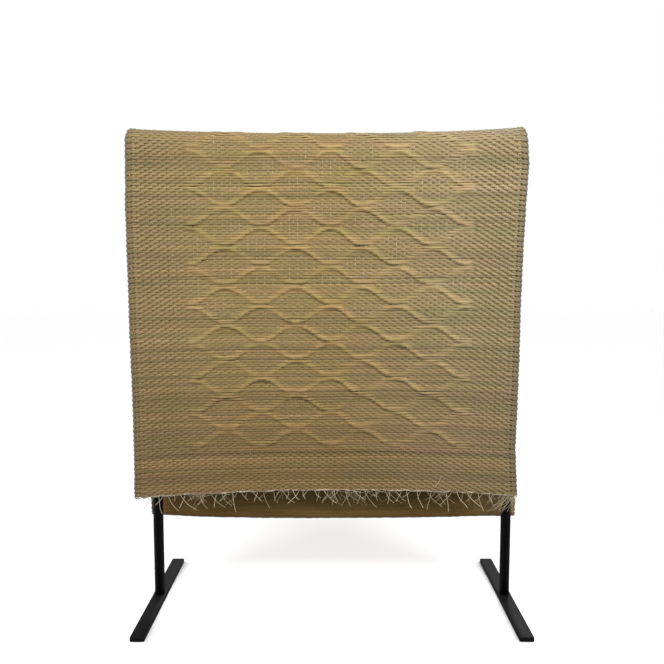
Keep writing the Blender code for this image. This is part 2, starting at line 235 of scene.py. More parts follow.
# Fringe: the strands as in the solids, and the scene's own frays
FRINGE_STRANDS = 74
STRAND_WIDTH, STRAND_SIDES = 0.0013, 5
STRAND_LAYER = 0.0008
LAYER_SPREAD = 0.06
STRAND_LENGTHS = (0.014, 0.050)
STRAND_LEANS = (0.15, 1.00)
LEAN_SWING = 0.9
STRAND_SCATTER = 0.18
STRAND_TAPER = 0.25
FRINGE_SEED = 11
STRAND_FULLNESS = 1.05  # spun ends look fuller than the solids' plain strands
STRAND_WAVER = 0.0018
WAVER_SHARES, WAVER_TURNS = (0.3, 1.4), (3.0, 8.0)
STRAND_START, STRAND_POINTS = -0.06, 10  # each starts a little up inside the hem
# Strands are darker towards their roots: painted shade under the hem
FRINGE_TONES, ROOT_SHADE_TONE, FRAY_TONE = (0.2, 1.0), 0.6, 0.5
FRAYS = 104
FRAY_CLUMPS = 30
CLUMP_SPREAD = 0.006
FRAY_LENGTHS = (0.007, 0.040)
FRAY_LEAN = 1.9
LYING_SHARE = 0.36  # of the frays, which lie nearly along the hem
LYING_DROPS = (0.002, 0.008)
LYING_LEANS = (2.0, 5.0)
FRAY_FULLNESS = 0.65
FRINGE_BARE = 0.036  # no frays, and only stubs of strands, this near the left side edge
STUB_SHARE = 0.25
CORNER_FRAYS = 32  # tangled at the right corner
CORNER_REACH = 0.034
CORNER_LENGTHS = (0.010, 0.046)
CORNER_LEANS = (-1.4, 0.5)
FRAY_INSET = 0.010  # frays in clumps stay this far from the right corner
LYING_INSET = 0.060  # this near a side edge, those that lie along the hem lean inwards
STRAY_ENDS = ((0.2565, -0.842), (0.2750, -0.812))  # one loose thread lies up on the front
STRAY_POINTS, STRAY_TURN = 9, 5.0
STRAY_BEND, STRAY_LIFT, STRAY_RISE, STRAY_TAPER, STRAY_TONE = 0.0015, 0.0026, 0.0020, 0.3, 0.8

# Studio
CAMERA_PLACE = (STAND_MIDDLE, -1.68, FOLD_TOP - 0.3105)
CAMERA_TILT = math.radians(84.9)
CAMERA_LENS, CAMERA_SENSOR = 38.6, 36.0
SUN_SPREAD = math.radians(22.0)
SUNS = (  # azimuth from the viewer's side towards +X and height, in degrees, and strength
    ("left_light", -36.0, 46.0, 0.93),
    ("right_light", 34.0, 46.0, 1.26),
    ("back_light", 165.0, 48.0, 1.1),
)
SOFTBOXES = (  # place, what it faces, size, power, and whether a camera would see it
    ("left_softbox", (-1.5, 0.0, 0.72), (0.0, 0.0, 0.70), 0.6, 16.0, False),
    ("right_softbox", (1.5, 0.0, 0.72), (0.0, 0.0, 0.70), 0.6, 16.0, False),
    ("top_softbox", (0.22, -0.90, 1.95), (0.05, 0.0, 0.95), 0.5, 14.0, True),
)
WORLD_LIGHT, WORLD_SEEN = 0.40, 1.0
FLOOR_COLOR = (0.85, 0.85, 0.85)
FLOOR_BOUNCE = (0.25, 0.25, 0.25)
FLOOR_REACH = 12.0

# Colours
STRAW_COLORS = (
    (0.00, (0.200, 0.150, 0.060)),
    (0.25, (0.245, 0.193, 0.079)),
    (0.45, (0.280, 0.210, 0.086)),
    (0.62, (0.288, 0.207, 0.089)),
    (0.80, (0.300, 0.222, 0.108)),
    (1.00, (0.365, 0.288, 0.156)),
)
STEM_LOW, STEM_HIGH = 0.22, 0.78  # the ends of the straw colours, in the stems' noise
STEM_DRIFT = 3.5  # how many times a stem's colour changes in a metre
STEM_JUMP = 613.0  # how far apart in the noise the lowest and highest tones lie
STREAK_STRETCH = (16.0, 800.0, 800.0)
PATCH_STRETCH = (6.0, 6.0, 42.0)
PATCH_TINTS = ((0.91, 0.97, 0.89), (1.09, 1.03, 1.08))
LIGHTNESS_TINTS = ((0.83, 0.80, 0.81), (1.37, 1.29, 1.19))  # of the dullest wefts and of the palest
# The drop behind, where painted shade and painted light go on
BEHIND = ("Y", 0.005, 0.035)
RUSH_TINTS = (  # axis, where each starts and where it is full, and the tint
    (("Z", 0.70, 0.25), (0.76, 0.68, 0.65)),  # darker and browner towards the hems: painted shade, for the light that falls off lower down
    (("X", 0.02, 0.45), (1.14, 1.27, 1.72)),  # paler and greyer towards +X: painted light, the cooler and stronger light on that side
    (("X", -0.24, -0.42), (1.03, 1.05, 1.22)),
    (("Z", FOLD_TOP - 0.014, FOLD_TOP - 0.002), (0.74, 0.75, 0.84)),  # darker where it turns over the bar: painted shade on the top of the fold
    (BEHIND, (1.12, 0.90, 0.66)),  # the drop behind is browner: painted light, the brown of light thrown between the two drops
)
SELVEDGE_COLOR = (0.150, 0.118, 0.066)
SELVEDGE_SHARE, SELVEDGE_FADE = 0.45, 0.004
# Painted shade in the small holes beside the selvedges
HOLE_SHADE_COLOR = (0.060, 0.048, 0.024)
# The ground between the wefts is darker than the straw: painted shade in the gaps
GROUND_SHADE_COLOR = (0.170, 0.125, 0.050)
# The ground behind is darker and browner: painted shade, and the brown of light thrown between the drops
BACK_GROUND_SHADE_COLOR = (0.178, 0.113, 0.038)
BACK_DROP = ("Z", 0.25, 0.19)
BACK_DROP_SHADE_TINTS = ((0.58, 0.56, 0.57), (1.42, 1.35, 1.24))  # darker up between the drops and paler at the hem behind: painted shade under the front drop, lifting towards the hem
CURL = ("X", 0.345, 0.405)  # the right corner behind turns forward, and is painted paler and greyer: painted light that it catches from the front
CURL_LIGHT_TINT = (1.45, 1.65, 2.20)
THREAD_COLORS = (  # dullest and palest
    ("warp_cotton", (0.20, 0.155, 0.08), (0.60, 0.53, 0.38)),
    ("end_cotton", (0.24, 0.19, 0.10), (0.74, 0.66, 0.46)),
    ("hem_cotton", (0.24, 0.20, 0.15), (0.52, 0.46, 0.36)),
    ("edge_cotton", (0.15, 0.135, 0.115), (0.27, 0.25, 0.215)),
    ("side_cotton", (0.21, 0.13, 0.05), (0.46, 0.33, 0.15)),
)
BLACK = (0.0035, 0.0033, 0.0038)
PAINT_ROUGHNESS = (0.42, 0.58)
BUMP_STRENGTH = 0.5
STREAK_BUMP, THREAD_BUMP = 0.0003, 0.0002
NOISE_LOW, NOISE_HIGH = 0.3, 0.7  # between these lies nearly all of a noise

SMOOTH_ANGLE = math.radians(35)


def ease(value):
    """0 below 0, 1 above 1, and a soft step between them."""
    value = np.clip(value, 0.0, 1.0)
    return value * value * (3.0 - 2.0 * value)


def edge_wander(across, share):
    """Sideways shift of the front panel: each side edge's own wander, fading towards the mat's middle."""
    shares, lefts, rights = zip(*EDGE_WANDER)
    side = np.where(across < 0, np.interp(share, shares, lefts), np.interp(share, shares, rights))
    return side * across**2


def sheet_points(x, along):
    """Middle of the cloth's thickness at flat places."""
    x, along = np.broadcast_arrays(np.asarray(x, float), np.asarray(along, float))
    across = 2.0 * x / MAT_WIDTH
    front = along < 0
    reach = np.abs(along)
    turn = np.minimum(reach / FOLD_RADIUS, math.pi / 2)
    height = FOLD_TOP - FOLD_RADIUS * (1.0 - np.cos(turn)) - np.maximum(reach - FOLD_QUARTER, 0.0)
    lean = np.where(front, FLARE_LEAN, 0.0)
    flare = np.where(front, FLARE, FLARE + (BACK_FLARE - FLARE) * ease(reach / BACK_LENGTH))
    out = FOLD_RADIUS + flare * (across - lean) ** 2 - flare * lean**2
    depth = np.where(front, -1.0, 1.0) * out * np.sin(turn)
    near_fold = 1.0 - ease(reach / RISE_REACH)
    rise = np.where(across > 0, RIGHT_RISE, LEFT_RISE)
    height = height + rise * np.abs(across) ** RISE_POWER * near_fold
    panel = ease((reach - FOLD_QUARTER) / RISE_REACH)
    depth = depth + RIPPLE * panel * np.sin(2 * math.pi * (along + RIPPLE_SLANT * x) / RIPPLE_LENGTH)
    front_share = reach / FRONT_LENGTH
    back_share = reach / BACK_LENGTH
    front_shift = FRONT_SHIFT + edge_wander(across, front_share)
    back_shift = FRONT_SHIFT + (BACK_SHIFT - FRONT_SHIFT) * back_share
    corner = ease((x - MAT_WIDTH / 2) / BACK_CURL_WIDTH + 1.0)
    corner = corner * ease((reach - BACK_LENGTH) / BACK_CURL_HEIGHT + 1.0)
    front_drop = -HEM_DIP * (across - lean) ** 2 * ease(front_share)
    back_lift = BACK_LIFT * across**4 * ease(back_share)
    depth = depth - np.where(front, 0.0, BACK_CURL * corner)
    height = height + np.where(front, front_drop, back_lift)
    sideways = np.where(front, front_shift, back_shift)
    return np.stack((STAND_MIDDLE + sideways + x, depth, height), axis=-1)


def unit(vectors):
    return vectors / np.linalg.norm(vectors, axis=-1, keepdims=True)


def sheet_normals(x, along):
    """Unit vectors out of the cloth's patterned face."""
    step = 0.001
    inside = np.clip(x, step - MAT_WIDTH / 2, MAT_WIDTH / 2 - step)
    across = sheet_points(inside + step, along) - sheet_points(inside - step, along)
    down = sheet_points(x, along + step) - sheet_points(x, along - step)
    return unit(np.cross(across, down))


def wave(x):
    """1 on the first meeting's column and -1 half a wave on, with flattened tops."""
    nearer = WAVE_SHIFT * ease((x - SHIFT_START) / SHIFT_REACH)
    turn = np.cos(2 * math.pi * (x + nearer - WAVE_MIDDLE) / WAVE_LENGTH)
    return turn * (1.0 + WAVE_FLATNESS - WAVE_FLATNESS * turn * turn)


def line_middle(line):
    """Where one wavy line's middle lies along the cloth."""
    turn = min(max((line - 0.5 - DRIFT_START) / DRIFT_LINES, 0.0), 1.0)
    return FIRST_MEETING - LINE_PITCH * (line - 0.5) - LINE_DRIFT * math.sin(math.pi * turn) ** 2


def wave_slope(x):
    """How steeply a line climbs for each metre across."""
    step = 0.0005
    return WAVE_SWING * (wave(x + step) - wave(x - step)) / (2 * step)


def nearest_line(x, along):
    """How far flat places are from the nearest wavy line, along the cloth, and how boldly it shows there.
    On one side of the mat the lines are bolder where they climb, and on the other where they fall."""
    x, along = np.broadcast_arrays(x, along)
    distance = np.full(x.shape, 1.0)
    boldness = np.zeros(x.shape)
    swing, slope = wave(x), wave_slope(x) / STEEPEST
    leaning = np.interp(x, *zip(*LINE_LEANINGS))
    draw = random.Random(WEAVE_SEED + 4)
    for line in range(FIRST_LINE, LAST_LINE + 1):
        side = 1.0 if line % 2 == 0 else -1.0
        here = np.abs(along - line_middle(line) + side * WAVE_SWING * swing)
        bold = (LINE_EVENNESS - side * slope * leaning) * (1.0 + draw.uniform(-LINE_SCATTER, LINE_SCATTER))
        turn = 2 * math.pi * x / SWELL_LENGTH
        swell = np.sin(turn + draw.uniform(0, ANY_TURN))
        swell = swell + np.sin(SECOND_SWELL * turn + draw.uniform(0, ANY_TURN))
        bold = bold * (1.0 + LINE_SWELL * swell / 2)
        boldness = np.where(here < distance, np.clip(bold, *BOLDNESS_LIMITS), boldness)
        distance = np.minimum(distance, here)
    return distance, boldness


def off_fold(along, fade):
    """0 on top of the fold and 1 away from it."""
    start, reach = fade
    return ease((np.abs(along) - start) / reach)


def in_lattice(x):
    """1 inside the lattice's side borders and 0 outside them."""
    return ease((x - LATTICE_LEFT) / LATTICE_FADE) * ease((LATTICE_RIGHT - x) / LATTICE_FADE)


def calm(x):
    """Like in_lattice, over a wider band."""
    return ease((x - LATTICE_LEFT) / CALM_REACH + 0.5) * ease((LATTICE_RIGHT - x) / CALM_REACH + 0.5)


def above_plain_band(along):
    """0 in the plain band beside the front hem and 1 above it."""
    return ease((along + FRONT_LENGTH - PLAIN_BAND) / BAND_FADE)


def relief(x, along):
    """Height of the raised lines and of the lattice's borders above the plain cloth."""
    distance, boldness = nearest_line(x, along)
    near = np.clip(distance / LINE_FLANK, 0.0, 1.0)
    height = LINE_HEIGHT * boldness * (0.5 + 0.5 * np.cos(math.pi * near)) * in_lattice(x)
    height = height * (FOLD_RELIEF + (1.0 - FOLD_RELIEF) * off_fold(along, RELIEF_FADE))
    for border in (-FRONT_LENGTH + PLAIN_BAND, BACK_LENGTH - PLAIN_BAND):
        near = np.clip(np.abs(along - border) / LINE_FLANK, 0.0, 1.0)
        height = np.maximum(height, BORDER_HEIGHT * (0.5 + 0.5 * np.cos(math.pi * near)))
    return height


def slopes(field, x, along, step):
    """How fast a field of flat places changes across the mat and along it."""
    side = (field(x + step, along) - field(x - step, along)) / (2 * step)
    fall = (field(x, along + step) - field(x, along - step)) / (2 * step)
    return side, fall


def leaning_normals(x, along):
    """Normals of the cloth with its raised lines."""
    step = 0.0008
    across, down = slopes(sheet_points, x, along, step)
    side, fall = slopes(relief, x, along, step)
    lean = fall[..., None] * down + side[..., None] * across
    return unit(sheet_normals(x, along) - RIDGE_TILT * lean)


def spread(x, along):
    """How far the drape and the raised lines pull neighbouring rows apart, and 1 where they don't."""
    step = 0.001
    down, fall = (slopes(field, x, along, step)[1] for field in (sheet_points, relief))
    return np.maximum(np.linalg.norm(down, axis=-1), 1.0) * np.sqrt(1.0 + fall**2)


def weft_rows():
    """Where each weft lies along the cloth, from the front hem to the back hem."""
    draw = random.Random(WEAVE_SEED)
    rows = [-FRONT_LENGTH]
    while rows[-1] < BACK_LENGTH:
        fine = 1.0 - float(ease((rows[-1] + FRONT_LENGTH) / FINE_REACH))
        pitch = WEFT_PITCH + (FINE_PITCH - WEFT_PITCH) * fine
        rows.append(rows[-1] + pitch * (1.0 + draw.uniform(-PITCH_SCATTER, PITCH_SCATTER)))
    rows = np.array(rows)
    middles = (rows[:-1] + rows[1:]) / 2
    return middles[middles < BACK_LENGTH - WEFT_PITCH / 2]


def new_object(name, data):
    """An object linked to the scene."""
    obj = bpy.data.objects.new(name, data)
    bpy.context.scene.collection.objects.link(obj)
    return obj


def feed(tree, socket, value):
    """Links a socket to another's output, or sets it to a plain value. A colour gets its alpha."""
    if isinstance(value, bpy.types.NodeSocket):
        tree.links.new(value, socket)
    elif socket.type == "RGBA":
        socket.default_value = (*value, 1.0)
    else:
        socket.default_value = value


def wired(tree, kind, inputs, output=0, **settings):
    """One output of a new node, once its settings are made and its inputs fed, by name or number."""
    node = tree.nodes.new(kind)
    for key, value in settings.items():
        setattr(node, key, value)
    for key, value in inputs.items():
        feed(tree, node.inputs[key], value)
    return node.outputs[output]


def new_group(name, kind, inputs, outputs):
    """A node group with named sockets: its tree, its own inputs by name, and those of its output node."""
    group = bpy.data.node_groups.new(name, kind)
    for direction, sockets in (("INPUT", inputs), ("OUTPUT", outputs)):
        for socket, value in sockets.items():
            group.interface.new_socket(socket, in_out=direction, socket_type="NodeSocket" + value)
    return group, group.nodes.new("NodeGroupInput").outputs, group.nodes.new("NodeGroupOutput").inputs


def make_path(name, places, facings, fullness, tone, shade=0.0, lightness=0.0):
    """A loose-edge mesh of one chain for each path, with what the strip tree and the materials read."""
    chains, points = places.shape[:2]
    mesh = bpy.data.meshes.new(name)
    mesh.vertices.add(chains * points)
    mesh.vertices.foreach_set("co", places.astype(np.float32).ravel())
    starts = np.arange(chains)[:, None] * points + np.arange(points - 1)[None, :]
    edges = np.stack((starts, starts + 1), axis=-1).reshape(-1, 2)
    mesh.edges.add(len(edges))
    mesh.edges.foreach_set("vertices", edges.astype(np.int32).ravel())
    facing = mesh.attributes.new("facing", "FLOAT_VECTOR", "POINT")
    facing.data.foreach_set("vector", facings.astype(np.float32).ravel())
    values = {"fullness": fullness, "tone": tone, "shade": shade, "lightness": lightness}
    for key, value in values.items():
        whole = np.broadcast_to(value, (chains, points)).astype(np.float32)
        mesh.attributes.new(key, "FLOAT", "POINT").data.foreach_set("value", whole.ravel())
    return mesh


def strip_tree():
    """Geometry Nodes that lay a flat-sided strip along each chain of a path mesh."""
    sizes = {"Width": "Float", "Thickness": "Float", "Sides": "Int"}
    inputs = {"Paths": "Geometry", **sizes, "Material": "Material"}
    tree, given, result = new_group("strip_on_path", "GeometryNodeTree", inputs, {"Strips": "Geometry"})
    facing, fullness = [
        wired(tree, "GeometryNodeInputNamedAttribute", {"Name": name}, data_type=kind)
        for name, kind in (("facing", "FLOAT_VECTOR"), ("fullness", "FLOAT"))
    ]
    curve = wired(tree, "GeometryNodeMeshToCurve", {"Mesh": given["Paths"]})
    curve = wired(tree, "GeometryNodeSetCurveNormal", {"Curve": curve, "Normal": facing}, mode="FREE")
    ring = wired(tree, "GeometryNodeCurvePrimitiveCircle", {"Resolution": given["Sides"], "Radius": 0.5})
    ring = wired(tree, "GeometryNodeTransform", {"Geometry": ring, "Rotation": (0.0, 0.0, math.pi / 5)})
    size = wired(tree, "ShaderNodeCombineXYZ", {"X": given["Thickness"], "Y": given["Width"], "Z": 1.0})
    ring = wired(tree, "GeometryNodeTransform", {"Geometry": ring, "Scale": size})
    swept = {"Curve": curve, "Profile Curve": ring, "Scale": fullness, "Fill Caps": True}
    strips = wired(tree, "GeometryNodeCurveToMesh", swept)
    strips = wired(tree, "GeometryNodeSetShadeSmooth", {"Geometry": strips})
    strips = wired(tree, "GeometryNodeRealizeInstances", {"Geometry": strips})
    strips = wired(tree, "GeometryNodeSetMaterial", {"Geometry": strips, "Material": given["Material"]})
    feed(tree, result["Strips"], strips)
    return tree


def lay_strips(tree, name, path, width, thickness, sides, material):
    """Runs the strip tree over a path mesh and keeps the result as a plain mesh."""
    obj = new_object(name, path)
    modifier = obj.modifiers.new("strips", "NODES")
    modifier.node_group = tree
    sizes = {"Width": width, "Thickness": thickness, "Sides": sides, "Material": material}
    for item in tree.interface.items_tree:
        if item.in_out == "INPUT" and item.name in sizes:
            modifier[item.identifier] = sizes[item.name]
    depsgraph = bpy.context.evaluated_depsgraph_get()
    made = bpy.data.meshes.new_from_object(obj.evaluated_get(depsgraph))
    obj.modifiers.clear()
    obj.data = made
    made.name = name
    bpy.data.meshes.remove(path)
    return obj


def over_or_under(rows, warps):
    """Plain weave with floats at the raised lines: 1 where a weft lies over a warp and -1 where it dips
    under. Also returns how much of each crossing belongs to a float."""
    parity = (np.arange(len(rows))[:, None] + np.arange(len(warps))) % 2
    plain = np.where(parity == 0, 1.0, -1.0)
    distance, boldness = nearest_line(warps, rows[:, None] + row_bend(warps, rows[:, None]))
    reach = FLOAT_REACH * (FAINT_FLOAT + (1.0 - FAINT_FLOAT) * boldness)
    near = distance / np.sqrt(1.0 + wave_slope(warps) ** 2) / reach
    held = (1.0 - ease((near - FLOAT_START) / FLOAT_FADE)) * (in_lattice(warps) > 0.5)
    draw = np.random.default_rng(WEAVE_SEED + 1)
    count = len(rows)
    low, high = draw.uniform(*LOWER_FLOATS, count), draw.uniform(*UPPER_FLOATS, count)
    top = np.where(np.arange(count) % 2 == 0, low, high)
    return plain + (top[:, None] - plain) * held, held


def weft_places():
    """Points of each weft across the mat: those of a selvedge, then two for each warp."""
    warps = -MAT_WIDTH / 2 + MAT_WIDTH * (np.arange(WARP_COUNT) + 0.5) / WARP_COUNT
    inner = np.linspace(-MAT_WIDTH / 2, MAT_WIDTH / 2, 2 * WARP_COUNT + 1)
    first = int(np.searchsorted(inner, SELVEDGE_GAP - SELVEDGE_PLACES[-1]))
    first += first % 2  # the first kept point lies between two warps
    inner = inner[first : len(inner) - first]
    edge = np.array(SELVEDGE_PLACES)
    x = np.concatenate((-edge, inner, edge[::-1]))
    return x, warps[first // 2 : WARP_COUNT - first // 2]


def lay_along_row(values, between, edges):
    """A value for each point of each weft, from those at the warps, between them and on the selvedges."""
    rows, warps = values.shape
    count = len(SELVEDGE_PLACES)
    whole = np.zeros((rows, 2 * warps + 1 + 2 * count))
    inner = whole[:, count:-count]
    inner[:, 1::2] = values
    inner[:, 2:-1:2] = between
    inner[:, 0] = inner[:, 1] * 0.5 + 0.5 * edges[-1]
    inner[:, -1] = inner[:, -2] * 0.5 + 0.5 * edges[-1]
    whole[:, :count] = edges
    whole[:, -count:] = edges[::-1]
    return whole


def row_bend(x, along):
    """A slow bending of the rows, which dies away at the hems."""
    bend = sum(size * np.sin(across * x + down * along + start) for size, across, down, start in ROW_BENDS)
    return bend * off_hems(along)


def off_hems(along):
    """0 at the two hems and 1 away from them."""
    return ease((along + FRONT_LENGTH) / HEM_FADE) * ease((BACK_LENGTH - along) / HEM_FADE)


def row_lightness(rows, draw):
    """How pale each weft is: each has its own straw, and some lie together in paler or duller bands."""
    light = PLAIN_LIGHTNESS + ROW_LIGHTNESS * draw.normal(0.0, 1.0, len(rows))
    for place, reach, more in PALE_BANDS:
        light = light + more * np.exp(-(((rows - place) / reach) ** 2))
    return light


def weft_fullness(x, warps, rows, over, held, draw):
    """How wide each weft is along its length, as a share of a plain weft's width."""
    wide = np.where(over > ON_TOP, OVER_FULLNESS, FLOAT_FULLNESS)
    narrow = np.interp(warps, *zip(*UNDER_FULLNESS))
    narrow = narrow + (CELL_UNDER - narrow) * calm(warps) * above_plain_band(rows)[:, None]
    span = np.where(over > 0, wide + (FLOAT_FULLNESS - wide) * held * FLOAT_BLEND, narrow)
    span = span * (1.0 + draw.uniform(-STITCH_SCATTER, STITCH_SCATTER, span.shape))
    float_share = np.minimum(held[:, :-1], held[:, 1:])
    between = 1.0 + (np.minimum(span[:, :-1], span[:, 1:]) - 1.0) * float_share
    fullness = lay_along_row(span, between, SELVEDGE_SPANS)
    in_selvedge = np.abs(x) > SELVEDGE_PLACES[-1]
    fullness = fullness * (1.0 + SELVEDGE_SCATTER * in_selvedge * draw.uniform(-1.0, 1.0, fullness.shape))
    fullness = fullness * (1.0 + draw.uniform(-ROW_SCATTER, ROW_SCATTER, (len(rows), 1)))
    for place, loss in TIGHT_WARPS:
        fullness = fullness * (1.0 - loss * np.exp(-(((x - place) / TIGHT_REACH) ** 2)))
    return fullness * (1.0 - LOW_LOSS * ease((-rows - LOW_LOSS_START) / LOW_LOSS_REACH))[:, None]


def weft_courses(x, rows, lift, turn, draw):
    """Where each weft lies along the cloth: pairs drawn together at the selvedges, slanted stitches, a small
    wobble and the slow bend of the rows."""
    pair = np.where(np.arange(len(rows)) % 2 == 0, 1.0, -1.0)[:, None] * WEFT_PITCH * SELVEDGE_PAIR
    slant = SLANT * np.clip((SLANT_MIDDLE - x) / (MAT_WIDTH / 2), -1.0, 1.0)
    slant = slant * np.interp(rows, *zip(*SLANT_SHARES))[:, None]
    slant = slant * (1.0 + SLANT_SCATTER * draw.uniform(-1.0, 1.0, lift.shape))
    slant = slant * off_fold(rows, SLANT_FADE)[:, None]
    wobble = np.cumsum(draw.normal(0.0, 1.0, lift.shape), axis=1)
    wobble = wobble - np.linspace(0, 1, len(x)) * wobble[:, -1:]
    along = rows[:, None] + turn * pair - slant * np.gradient(lift, axis=1)
    along = along + ROW_WOBBLE * wobble / math.sqrt(len(x)) * (1 - turn)
    along = along + row_bend(x, rows[:, None])
    fall = SELVEDGE_SLOPE * np.maximum(np.abs(x) - SELVEDGE_PLACES[-1], 0.0)
    return along - fall * off_hems(rows)[:, None]


def weft_paths(rows):
    """Places, facings, fullness, tone, selvedge tint, and lightness with a painted sheen on the floats,
    along every weft.
    """
    x, warps = weft_places()
    over, held = over_or_under(rows, warps)
    none = np.zeros(len(SELVEDGE_PLACES))
    lift = lay_along_row(over, (over[:, :-1] + over[:, 1:]) / 2, none)
    draw = np.random.default_rng(WEAVE_SEED)
    fullness = weft_fullness(x, warps, rows, over, held, draw)
    along = weft_courses(x, rows, lift, lay_along_row(0 * over, 0, SELVEDGE_DRAW), draw)
    x_all = np.broadcast_to(x, along.shape)
    swing = WEFT_SWING * (FOLD_SWING + (1.0 - FOLD_SWING) * off_fold(along, SWING_FADE))
    swing = swing * (1.0 - (1.0 - CELL_SWING) * calm(x) * above_plain_band(rows)[:, None])
    wider = spread(x_all, along) ** SPREAD_SHARE
    height = relief(x_all, along) + swing * lift + lay_along_row(0 * over, 0, SELVEDGE_HEIGHTS)
    height = height - (wider - 1.0) * WEFT_THICKNESS / 2
    places = sheet_points(x_all, along) + sheet_normals(x_all, along) * height[..., None]
    tones = draw.uniform(0.0, 1.0, (len(rows), 1))
    shades = ease((np.abs(x) - SELVEDGE_PLACES[-1]) / SELVEDGE_FADE)
    # Smooth floats are painted paler: painted sheen where they catch the light, less on the deeper ones
    shown = DEEP_FLOAT_SHEEN + (1.0 - DEEP_FLOAT_SHEEN) * (over > ON_TOP)
    float_share = np.minimum(held[:, :-1], held[:, 1:])
    smooth = lay_along_row(held * shown, float_share * shown[:, 1:], none)
    lightness = row_lightness(rows, draw)[:, None] + FLOAT_SHEEN * smooth
    tones, shades = (np.broadcast_to(field, lift.shape) for field in (tones, shades))
    return places, leaning_normals(x_all, along), fullness * wider, tones, shades, lightness


def make_wefts(tree, material, rows):
    """Four pieces of wefts, from the front hem to the back hem."""
    names = ("weft_front_low", "weft_front_high", "weft_back_high", "weft_back_low")
    parts = np.array_split(np.arange(len(rows)), len(names))
    fields = weft_paths(rows)
    pieces = []
    for name, part in zip(names, parts):
        path = make_path(name + "_path", *[field[part] for field in fields])
        pieces.append(lay_strips(tree, name, path, WEFT_WIDTH, WEFT_THICKNESS, WEFT_SIDES, material))
    return pieces


def shown_warps(x, along):
    """1 where the warps show, between the raised lines and in a few places outside the lattice."""
    shown = ease((nearest_line(x, along)[0] - CELL_START) / (CELL_END - CELL_START)) * in_lattice(x)
    for place, first, last, much in SHOWN_WARPS:
        one = much * (np.abs(x - place) < MAT_WIDTH / WARP_COUNT / 2) * ((along > first) & (along < last))
        shown = np.maximum(shown, one)
    return shown


def make_warps(tree, material, rows):
    """Cotton warps that pass behind each weft that lies over them and in front of each that dips."""
    _, warps = weft_places()
    over, _ = over_or_under(rows, warps)
    along = np.broadcast_to(rows, (len(warps), len(rows)))
    x = np.broadcast_to(warps[:, None], along.shape)
    normals = sheet_normals(x, along)
    shown = shown_warps(x, along)
    low = ease((-along - LOW_WARPS_START) / LOW_WARPS_REACH)
    # Behind, the warps are painted duller still: painted shade on the drop behind
    low = np.where(along < 0, low, BACK_WARPS * ease(along / BACK_WARPS_REACH))
    every_other = np.where(np.arange(len(warps)) % 2 == 0, 1.0, EVERY_OTHER)[:, None]
    draw = np.random.default_rng(WEAVE_SEED + 3)
    across, start, down, skew = WARP_PATCHES
    patches = np.sin(x * across + start) * np.sin(along * down + x * skew)
    patchy = ease(PATCH_MIDDLE + PATCH_SWING * patches)
    fold = 1.0 - FOLD_WARPS * (1.0 - off_fold(along, FOLD_WARPS_FADE))
    bright = shown * every_other * (1.0 - LOW_WARPS * low) * fold * patchy
    bright = bright * draw.uniform(*WARP_CHANCE, along.shape)
    fold_sink = 1.0 + FOLD_SINK * (1.0 - off_fold(along, SINK_FADE))
    sink = WARP_SINK * (1.0 - shown * patchy) * fold_sink
    height = relief(x, along) - WARP_SWING * over.T - sink * (over.T < 0)
    places = sheet_points(x, along + row_bend(x, along)) + normals * height[..., None]
    path = make_path("warps_path", places, normals, 1.0, bright)
    return lay_strips(tree, "warps", path, WARP_WIDTH, WARP_THICKNESS, WARP_SIDES, material)


def smoothed(draw, count, reach):
    """A run of chance numbers, each evened out with its neighbours."""
    return np.convolve(draw.normal(0.0, 1.0, count), np.ones(reach) / reach, mode="same")


def with_middles(rows):
    """The rows with a place between each two."""
    along = np.repeat(rows, 2)[:-1]
    along[1::2] = (rows[:-1] + rows[1:]) / 2
    return along


def cord_path(x, along, height, sideways, fullness):
    """The path of one cord that lies on the mat at flat places."""
    x, along, height, sideways, fullness = np.broadcast_arrays(x, along, height, sideways, fullness)
    normals = sheet_normals(x, along)
    shift = np.stack((sideways, 0 * x, 0 * x), axis=-1)
    return sheet_points(x, along) + normals * height[:, None] + shift, normals, fullness


def lay_cords(tree, name, paths, tone, width, sides, material):
    """One piece of cords, from their paths."""
    places, normals, fullness = (np.stack(field) for field in zip(*paths))
    path = make_path(name + "_path", places, normals, fullness, tone)
    return lay_strips(tree, name, path, width, width, sides, material)


def make_edge_cords(tree, material, rows):
    """A twisted thread down each side edge, scalloped where the wefts turn round it in pairs."""
    along = with_middles(rows)
    turn = np.cos(math.pi * np.arange(len(along)) / 2)
    draw = np.random.default_rng(WEAVE_SEED + 2)
    paths = []
    for side in (-1, 1):
        sideways = side * (EDGE_SCALLOP * turn + CORD_WANDER * smoothed(draw, len(along), WANDER_RUN))
        x = side * (MAT_WIDTH / 2 - EDGE_INSET * EDGE_CORD)
        paths.append(cord_path(x, along, CORD_LIFT, sideways, 1.0 + EDGE_SWELL * turn))
    return lay_cords(tree, "edge_cords", paths, EDGE_TONE, EDGE_CORD, CORD_SIDES, material)


def make_side_warps(tree, material, rows):
    """A stiff thread beside each selvedge, which binds the wefts two by two."""
    along = with_middles(rows)
    height = CORD_LIFT + SIDE_WARP_RISE * np.cos(math.pi * (np.arange(len(along)) - 1) / 4)
    draw = np.random.default_rng(WEAVE_SEED + 6)
    paths = []
    for side in (-1, 1):
        sideways = CORD_WANDER * smoothed(draw, len(along), WANDER_RUN)
        paths.append(cord_path(side * SIDE_WARP_PLACE, along, height, sideways, 1.0))
    tones = draw.uniform(0, 1, (len(paths), len(along)))
    return lay_cords(tree, "side_warps", paths, tones, SIDE_WARP, SIDE_WARP_SIDES, material)


